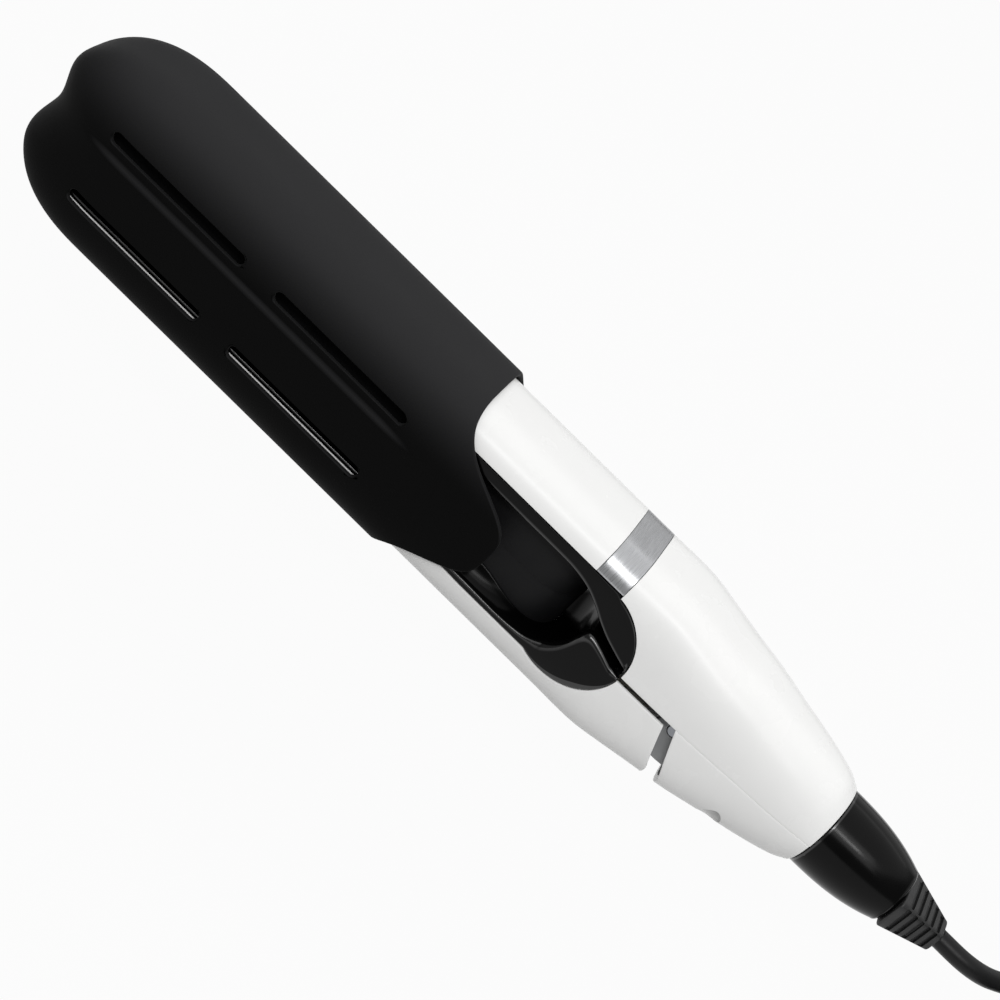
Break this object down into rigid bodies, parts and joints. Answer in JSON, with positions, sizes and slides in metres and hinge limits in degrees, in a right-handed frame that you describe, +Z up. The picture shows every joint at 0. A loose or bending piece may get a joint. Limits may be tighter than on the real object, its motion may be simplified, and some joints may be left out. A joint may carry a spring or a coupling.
{
  "type": "hair straightener",
  "caption": "Closed hair straightener with a pull-off silicone heat guard over its arms, a spring hinge in its tail, a side power button and a mains cord folded into a tied hank.",
  "frame": {"origin": "on the surface that the heat guard rests on, under the middle of the straightener without its cord", "axes": "+X along the straightener from its tip to its tail and cord, +Z up with the fixed arm above the moving one, +Y towards the side with the power button"},
  "size_m": [0.5108, 0.0477, 0.0485],
  "materials": {
    "white_gloss_plastic": "moulded, glossy",
    "black_gloss_plastic": "moulded, high gloss",
    "black_matt_plastic": "moulded, matt",
    "black_silicone": "moulded silicone, matt",
    "black_cord_rubber": "extruded and moulded, satin",
    "grey_plastic": "moulded, matt",
    "satin_metal": "brushed",
    "spring_steel": "bright",
    "plate_ceramic": "ceramic-coated, smooth",
    "heater_foil": "wrapped film over a ceramic heater",
    "board_laminate": "lacquered laminate",
    "lens_plastic": "tinted, glossy",
    "lead_sleeve": "silicone-coated glass sleeve"
  },
  "bodies": {
    "main_body": {"upper_outer_shell": "white_gloss_plastic", "tail_upper_shell": "white_gloss_plastic", "tail_lower_shell": "white_gloss_plastic", "upper_inner_shell": "black_gloss_plastic", "tail_cap": "black_gloss_plastic", "upper_plate_frame": "black_matt_plastic", "power_switch": "black_matt_plastic", "board_capacitor": "black_matt_plastic", "strain_relief": "black_cord_rubber", "cord_lead": "black_cord_rubber", "cord_hank": "black_cord_rubber", "cord_tie": "black_cord_rubber", "plug_body": "black_cord_rubber", "mains_lead_inner": "black_cord_rubber", "hinge_bracket": "grey_plastic", "cord_clamp": "grey_plastic", "accent_ring": "satin_metal", "plug_blade_a": "satin_metal", "plug_blade_b": "satin_metal", "upper_thermal_fuse": "satin_metal", "hinge_pin": "spring_steel", "hinge_spring": "spring_steel", "upper_heater_leaf": "spring_steel", "clamp_screw_a": "spring_steel", "clamp_screw_b": "spring_steel", "tail_screw_a": "spring_steel", "tail_screw_b": "spring_steel", "upper_plate": "plate_ceramic", "upper_heater": "heater_foil", "circuit_board": "board_laminate", "indicator_lens": "lens_plastic", "upper_lead_a": "lead_sleeve", "upper_lead_b": "lead_sleeve"},
    "lower_arm": {"lower_outer_shell": "white_gloss_plastic", "lower_inner_shell": "black_gloss_plastic", "lower_plate_frame": "black_matt_plastic", "lower_plate": "plate_ceramic", "lower_heater": "heater_foil", "lower_heater_leaf": "spring_steel", "lower_thermal_fuse": "satin_metal", "lower_lead_a": "lead_sleeve", "lower_lead_b": "lead_sleeve"},
    "heat_guard": {"heat_guard": "black_silicone"},
    "power_button": {"power_button": "black_gloss_plastic"}
  },
  "joints": [
    {"name": "guard_slide", "type": "slide", "parent": "main_body", "child": "heat_guard", "axis": [-1, 0, 0], "range_m": [0, 0.16]},
    {"name": "arm_hinge", "type": "hinge", "parent": "main_body", "child": "lower_arm", "pos_m": [0.06485, 0, 0.0211], "axis": [0, -1, 0], "range_deg": [0, 12], "deforming": ["heat_guard"]},
    {"name": "button_press", "type": "slide", "parent": "main_body", "child": "power_button", "axis": [0, -1, 0], "range_m": [0, 0.0008], "stiffness_N_per_m": 400}
  ],
  "couplings": [
    {"joint": "arm_hinge", "follows": "guard_slide", "rad_per_m": 1.3}
  ]
}
